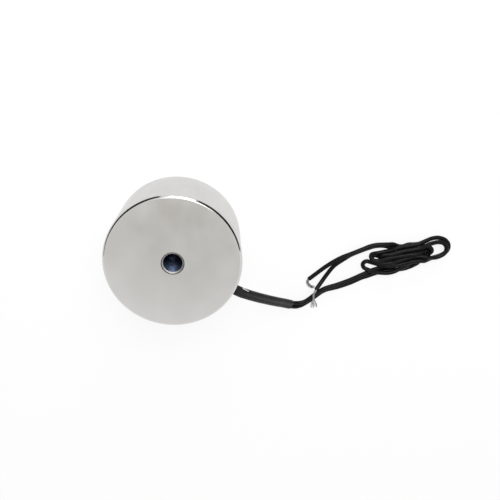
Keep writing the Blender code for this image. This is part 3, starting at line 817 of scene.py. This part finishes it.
def makeNickel(look):
    material, tree, shader, place = newMaterial("satinNickel", {"Metallic": 1.0})
    apart = tree.nodes.new("ShaderNodeSeparateXYZ")
    flat = tree.nodes.new("ShaderNodeCombineXYZ")
    across = tree.nodes.new("ShaderNodeVectorMath")
    across.operation = "LENGTH"
    tree.links.new(place, apart.inputs["Vector"])
    tree.links.new(apart.outputs["X"], flat.inputs["X"])
    tree.links.new(apart.outputs["Y"], flat.inputs["Y"])
    tree.links.new(flat.outputs["Vector"], across.inputs[0])
    reach, height = across.outputs["Value"], apart.outputs["Z"]  # from the axis, from the floor
    nearAxis = addMath(tree, "LESS_THAN", reach, look["mouthShadeReach"] * mm)
    upper = addMath(tree, "GREATER_THAN", height, look["mouthShadeHeight"] * mm)
    nearHole = addMath(tree, "MULTIPLY", nearAxis, upper)
    pastLip = addMath(tree, "GREATER_THAN", reach, look["lipShadeReach"] * mm)
    outer = addMath(tree, "GREATER_THAN", reach, look["edgeStart"] * mm)
    high = addMath(tree, "GREATER_THAN", height, look["edgeHeight"] * mm)
    cloud = addGroup(tree, softMottle, place, Scale=look["cloudScale"], Detail=2.0)
    tone = addTint(tree, cloud.outputs["Value"], look["plate"], look["cloud"])
    scale, low, most = look["mouthShadeBreakup"]
    mouthShadeBreakup = addGroup(tree, softMottle, place, Scale=scale, Low=low, High=most)
    # the hole's mouth is darkened in patches: painted shade that dims the countersink's reflection
    mouthShadeShare = addMath(tree, "MULTIPLY", nearHole, mouthShadeBreakup.outputs["Value"])
    mouthShaded = addTint(tree, mouthShadeShare, tone, look["paintedMouthShade"])
    # a dark ring on the countersink's outer edge is painted shade
    shadedPlate = addTint(tree, addMath(tree, "MULTIPLY", nearHole, pastLip), mouthShaded, look["paintedLipShade"])
    tree.links.new(shadedPlate, shader.inputs["Base Color"])
    scale, low, most = look["rough"]
    rough = addGroup(tree, softMottle, place, Scale=scale, Detail=2.0, Low=low, High=most)
    turned = addSheen(tree, addMath(tree, "MULTIPLY", outer, high), rough.outputs["Value"],
                      look["edgeRough"])
    sunk = addSheen(tree, nearHole, turned, look["mouthRough"])
    tree.links.new(sunk, shader.inputs["Roughness"])
    marks = addGroup(tree, turningMarks, place, Pitch=look["markPitch"])
    addBump(tree, shader, marks.outputs["Height"], look["marks"])
    return material


threadLook = {
    # the thread's dark navy tone is painted shade of the hole
    "tone": (0.045, 0.06, 0.105, 1),
    "dust": (0.012, 0.014, 0.022, 1),
    "dusty": (0.6, 500.0),
    "rough": (700.0, 0.24, 0.4),
    "deep": (0.085, 0.11, 0.18, 1),  # painted light: the bottom of the hole is a little lighter
    "deepBelow": 19.5,
    "deepStart": 25.5,
}


def makeThreadSteel(look):
    # the steel is painted dark as the hole's shade, and lighter towards its bottom as painted light
    material, tree, shader, place = newMaterial("threadPaintedShade", {"Metallic": 1.0})
    film = addCoat(tree, shader, place, look)
    apart = tree.nodes.new("ShaderNodeSeparateXYZ")
    depth = tree.nodes.new("ShaderNodeMapRange")
    depth.inputs["From Min"].default_value = look["deepStart"] * mm
    depth.inputs["From Max"].default_value = look["deepBelow"] * mm
    tree.links.new(place, apart.inputs["Vector"])
    tree.links.new(apart.outputs["Z"], depth.inputs["Value"])
    # lighter towards the bottom of the hole: painted light
    deepPaintedLight = addTint(tree, depth.outputs["Result"], film, look["deep"])
    tree.links.new(deepPaintedLight, shader.inputs["Base Color"])
    return material


shrinkLook = {
    "tone": (0.008, 0.008, 0.0085, 1),
    "dust": (0.035, 0.034, 0.033, 1),
    "dusty": (0.35, 500.0),
    "rough": (500.0, 0.22, 0.4),
    "stretch": (0.35, 1.0, 0.6),  # the crinkles run along the sleeve
    "grain": (1500.0, 2.0, 0.09),
    "paintedHighlight": (0.55, 0.55, 0.55, 1),  # painted highlight: a pale streak on the shoulder beside the pot
    "highlightMiddle": 30.25,
    "highlightHalfLength": 1.5,
    "highlightSide": 1.9,
    "highlightHalfWidth": 0.13,
    "highlightSlant": 0.08,
    "highlightBreakup": (1100.0, 0.45, 1.0),
}


def makeShrink(look):
    material, tree, shader, place = newMaterial("heatShrink", {"Specular IOR Level": 0.22})
    film = addCoat(tree, shader, place, look)
    apart = tree.nodes.new("ShaderNodeSeparateXYZ")
    tree.links.new(place, apart.inputs["Vector"])
    # a pale streak on the sleeve's shoulder: painted highlight, broken up by a mottle
    along = addMath(tree, "COMPARE", apart.outputs["X"], look["highlightMiddle"] * mm,
                    look["highlightHalfLength"] * mm)
    slanted = addMath(tree, "MULTIPLY_ADD", apart.outputs["X"], look["highlightSlant"],
                      apart.outputs["Y"])
    middle = look["highlightSide"] + look["highlightSlant"] * look["highlightMiddle"]
    beside = addMath(tree, "COMPARE", slanted, middle * mm, look["highlightHalfWidth"] * mm)
    scale, low, high = look["highlightBreakup"]
    streakBreakup = addGroup(tree, softMottle, place, Scale=scale, Low=low, High=high)
    where = addMath(tree, "MULTIPLY", along, beside)
    share = addMath(tree, "MULTIPLY", where, streakBreakup.outputs["Value"])
    tree.links.new(addTint(tree, share, film, look["paintedHighlight"]), shader.inputs["Base Color"])
    stretch = tree.nodes.new("ShaderNodeMapping")
    stretch.inputs["Scale"].default_value = look["stretch"]
    tree.links.new(place, stretch.inputs["Vector"])
    scale, detail, depth = look["grain"]
    crinkle = addGroup(tree, softMottle, stretch.outputs["Vector"], Scale=scale, Detail=detail)
    addBump(tree, shader, crinkle.outputs["Value"], depth)
    return material


windingLook = {
    "tone": (0.55, 0.22, 0.08, 1),
    "dust": (0.28, 0.08, 0.03, 1),
    "dusty": (0.5, 400.0),
    "rough": (600.0, 0.22, 0.36),
    "wire": 0.5,
    "band": 0.314,  # width of one band of the wave texture at a scale of 1
    "depth": 0.2,
}


def makeWinding(look):  # rows of enamelled wire, seen as rings along the axis
    material, tree, shader, place = newMaterial("windingCopper", {"Metallic": 0.9})
    tree.links.new(addCoat(tree, shader, place, look), shader.inputs["Base Color"])
    rows = tree.nodes.new("ShaderNodeTexWave")
    rows.bands_direction = "Z"
    rows.inputs["Scale"].default_value = look["band"] / (look["wire"] * mm)
    tree.links.new(place, rows.inputs["Vector"])
    addBump(tree, shader, rows.outputs["Fac"], look["depth"])
    return material


pvcLook = {
    "name": "leadPvc",
    "shine": {"Specular IOR Level": 0.1},
    "tone": (0.005, 0.005, 0.0055, 1),
    "dust": (0.02, 0.0195, 0.019, 1),
    "dusty": (0.3, 700.0),
    "rough": (900.0, 0.26, 0.42),
    "grain": (2600.0, 3.0, 0.012),
}

tinnedLook = {
    "name": "tinnedCopper",
    "shine": {"Metallic": 1.0},
    "tone": (0.34, 0.34, 0.335, 1),
    "dust": (0.14, 0.125, 0.115, 1),
    "dusty": (0.6, 1200.0),
    "rough": (2500.0, 0.25, 0.45),
}

resinLook = {
    "name": "castResin",
    "shine": {"Specular IOR Level": 0.5},
    "tone": (0.012, 0.012, 0.014, 1),
    "dust": (0.09, 0.088, 0.085, 1),
    "dusty": (0.25, 300.0),
    "rough": (220.0, 0.16, 0.36),
    "grain": (160.0, 1.0, 0.08),
}

nylonLook = {
    "name": "bobbinNylon",
    "shine": {"Metallic": 0.0},
    "tone": (0.74, 0.72, 0.65, 1),
    "dust": (0.6, 0.56, 0.47, 1),
    "dusty": (0.3, 600.0),
    "rough": (600.0, 0.38, 0.52),
    "grain": (1200.0, 3.0, 0.01),
}

enamelLook = {
    "name": "wireEnamel",
    "shine": {"Metallic": 0.9},
    "tone": (0.5, 0.19, 0.07, 1),
    "dust": (0.3, 0.1, 0.04, 1),
    "dusty": (0.3, 900.0),
    "rough": (900.0, 0.23, 0.37),
    "grain": (1800.0, 3.0, 0.004),
}

tapeLook = {
    "name": "polyesterTape",
    "shine": {"Metallic": 0.0},
    "tone": (0.8, 0.56, 0.12, 1),
    "dust": (0.62, 0.4, 0.08, 1),
    "dusty": (0.3, 300.0),
    "rough": (300.0, 0.25, 0.39),
    "grain": (600.0, 3.0, 0.02),
}

solderLook = {
    "name": "softSolder",
    "shine": {"Metallic": 1.0},
    "tone": (0.56, 0.57, 0.59, 1),
    "dust": (0.34, 0.34, 0.35, 1),
    "dusty": (0.3, 1500.0),
    "rough": (1500.0, 0.31, 0.45),
    "grain": (3000.0, 3.0, 0.03),
}

tubingLook = {
    "name": "glassTubing",
    "shine": {"Metallic": 0.0},
    "tone": (0.75, 0.75, 0.71, 1),
    "dust": (0.6, 0.58, 0.52, 1),
    "dusty": (0.3, 2200.0),
    "rough": (2200.0, 0.53, 0.67),
    "grain": (4400.0, 3.0, 0.05),
}


def makeFinish(look):  # where a coat and a fine grain are all that the surface has
    material, tree, shader, place = newMaterial(look["name"], look["shine"])
    tree.links.new(addCoat(tree, shader, place, look), shader.inputs["Base Color"])
    if "grain" in look:
        scale, detail, depth = look["grain"]
        grain = addGroup(tree, softMottle, place, Scale=scale, Detail=detail)
        addBump(tree, shader, grain.outputs["Value"], depth)
    return material


pieceMaterials = [
    (makeNickel(nickelLook), [potBody]),
    (makeThreadSteel(threadLook), [mountingThread]),
    (makeFinish(pvcLook), [*leads.values(), *leadRoots]),
    (makeShrink(shrinkLook), [leadSleeve]),
    (makeFinish(tinnedLook), [*strandsA, *strandsB]),
    (makeFinish(resinLook), [pottingResin]),
]
solidMaterials = [
    (makeFinish(nylonLook), ["coil_bobbin"]),
    (makeWinding(windingLook), ["coil_winding"]),
    (makeFinish(tapeLook), ["coil_tape"]),
    (makeFinish(enamelLook), ["winding_start_tail", "winding_finish_tail"]),
    (makeFinish(solderLook), ["solder_joint_a", "solder_joint_b"]),
    (makeFinish(tubingLook), ["splice_sleeve_a", "splice_sleeve_b"]),
]
for material, wearers in pieceMaterials:
    for piece in wearers:
        piece.data.materials.clear()
        piece.data.materials.append(material)
for material, nodes in solidMaterials:
    for node in nodes:
        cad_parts[node].material_slots[0].material = material
print("materials on")

# Floor, lamps and sky

studio = {
    "floorSize": 1.6,
    "floorSurface": {"Roughness": 0.9, "Specular IOR Level": 0.0},
    "floorTone": (0.93, 0.93, 0.93, 1),
    "floorDust": (0.91, 0.91, 0.905, 1),
    "floorGlow": 0.84,
    "sky": 0.56,
    "ceilingStart": 0.78,  # sine of the height above the horizon where the ceiling starts to darken
    "ceiling": (0.585, 0.57, 0.535, 1),
}

lampAim = (0.02, 0, 0.02)

softbox = {
    "name": "softbox",
    "place": (-0.14, 0.42, 0.62),
    "width": 0.5,
    "height": 0.5,
    "power": 3.8,
}

stripLamp = {
    "name": "stripLamp",
    "place": (-0.26, 0.60, 0.24),
    "width": 0.32,
    "height": 0.08,
    "power": 1.0,
}

darkCards = [  # black cards that are seen only in reflections, as the dark lines on the turned edge
    {"name": "cardLeft", "bearing": 182, "reach": 0.7, "width": 1.35, "height": 0.34},
    {"name": "cardRight", "bearing": 60, "reach": 0.7, "width": 1.06, "height": 0.34},
]

cardLook = {
    "tone": (0.004, 0.004, 0.004, 1),
    "dust": (0.008, 0.008, 0.008, 1),
    "lift": 0.004,  # the cards stand just clear of the floor
}


def layFloor(look):
    bpy.ops.object.select_all(action="DESELECT")
    bpy.ops.mesh.primitive_plane_add(size=look["floorSize"], location=(0, 0, 0))
    floor = bpy.context.object
    floor.name = "floor"
    material, tree, shader, place = newMaterial("whiteSweep", look["floorSurface"])
    tone = addGroup(tree, dustFilm, place, Color=look["floorTone"], Dust=look["floorDust"],
                    Amount=0.5, Scale=30.0)
    tree.links.new(tone.outputs["Color"], shader.inputs["Base Color"])
    glow = tree.nodes.new("ShaderNodeEmission")
    glow.inputs["Color"].default_value = (1, 1, 1, 1)
    glow.inputs["Strength"].default_value = 1.0
    seen = tree.nodes.new("ShaderNodeLightPath")
    either = addMath(tree, "MAXIMUM", seen.outputs["Is Camera Ray"], seen.outputs["Is Glossy Ray"])
    blend = tree.nodes.new("ShaderNodeMixShader")
    tree.links.new(addMath(tree, "MULTIPLY", either, look["floorGlow"]), blend.inputs["Fac"])
    tree.links.new(shader.outputs["BSDF"], blend.inputs[1])
    tree.links.new(glow.outputs["Emission"], blend.inputs[2])
    tree.links.new(blend.outputs["Shader"], tree.nodes["Material Output"].inputs["Surface"])
    floor.data.materials.append(material)


def hangLamp(light, aim):
    data = bpy.data.lights.new(light["name"], "AREA")
    data.shape = "RECTANGLE"
    data.size = light["width"]
    data.size_y = light["height"]
    data.energy = light["power"]
    lamp = bpy.data.objects.new(light["name"], data)
    bpy.context.scene.collection.objects.link(lamp)
    lamp.location = light["place"]
    lamp.rotation_mode = "QUATERNION"
    way = Vector(aim) - Vector(light["place"])
    lamp.rotation_quaternion = way.to_track_quat("-Z", "Y")


def standCards(cards, look):
    material, tree, shader, place = newMaterial("blackCard", {"Roughness": 1.0})
    tone = addGroup(tree, dustFilm, place, Color=look["tone"], Dust=look["dust"], Amount=0.5,
                    Scale=20.0)
    tree.links.new(tone.outputs["Color"], shader.inputs["Base Color"])
    for given in cards:
        bearing = math.radians(given["bearing"])
        middle = (given["reach"] * math.cos(bearing), given["reach"] * math.sin(bearing),
                  given["height"] / 2 + look["lift"])
        bpy.ops.object.select_all(action="DESELECT")
        bpy.ops.mesh.primitive_plane_add(size=1.0, location=middle,
                                         rotation=(math.pi / 2, 0, bearing + math.pi / 2))
        card = bpy.context.object
        card.scale = (given["width"], given["height"], 1)
        bpy.ops.object.transform_apply(location=True, rotation=True, scale=True)
        card.name = given["name"]
        card.data.materials.append(material)
        card.visible_camera = False
        card.visible_diffuse = False
        card.visible_transmission = False
        card.visible_shadow = False


def paintSky(look):
    world = bpy.data.worlds.new("studioSky")
    bpy.context.scene.world = world
    world.use_nodes = True
    tree = world.node_tree
    plain = tree.nodes["Background"]
    plain.inputs["Color"].default_value = (1, 1, 1, 1)
    plain.inputs["Strength"].default_value = look["sky"]
    white = tree.nodes.new("ShaderNodeBackground")
    white.inputs["Strength"].default_value = 1.0
    seen = tree.nodes.new("ShaderNodeLightPath")
    way = tree.nodes.new("ShaderNodeTexCoord")  # reflections see the ceiling darken overhead
    apart = tree.nodes.new("ShaderNodeSeparateXYZ")
    rise = tree.nodes.new("ShaderNodeMapRange")
    rise.inputs["From Min"].default_value = look["ceilingStart"]
    rise.inputs["From Max"].default_value = 1.0
    tree.links.new(way.outputs["Generated"], apart.inputs["Vector"])
    tree.links.new(apart.outputs["Z"], rise.inputs["Value"])
    dark = addMath(tree, "MULTIPLY", rise.outputs["Result"], seen.outputs["Is Glossy Ray"])
    tree.links.new(addTint(tree, dark, (1, 1, 1, 1), look["ceiling"]), white.inputs["Color"])
    either = addMath(tree, "MAXIMUM", seen.outputs["Is Camera Ray"], seen.outputs["Is Glossy Ray"])
    shown = addMath(tree, "MAXIMUM", either, seen.outputs["Is Transmission Ray"])
    blend = tree.nodes.new("ShaderNodeMixShader")
    tree.links.new(shown, blend.inputs["Fac"])
    tree.links.new(plain.outputs["Background"], blend.inputs[1])
    tree.links.new(white.outputs["Background"], blend.inputs[2])
    tree.links.new(blend.outputs["Shader"], tree.nodes["World Output"].inputs["Surface"])


layFloor(studio)
hangLamp(softbox, lampAim)
hangLamp(stripLamp, lampAim)
standCards(darkCards, cardLook)
paintSky(studio)
bpy.context.scene.view_settings.view_transform = "Standard"
print("studio lit")
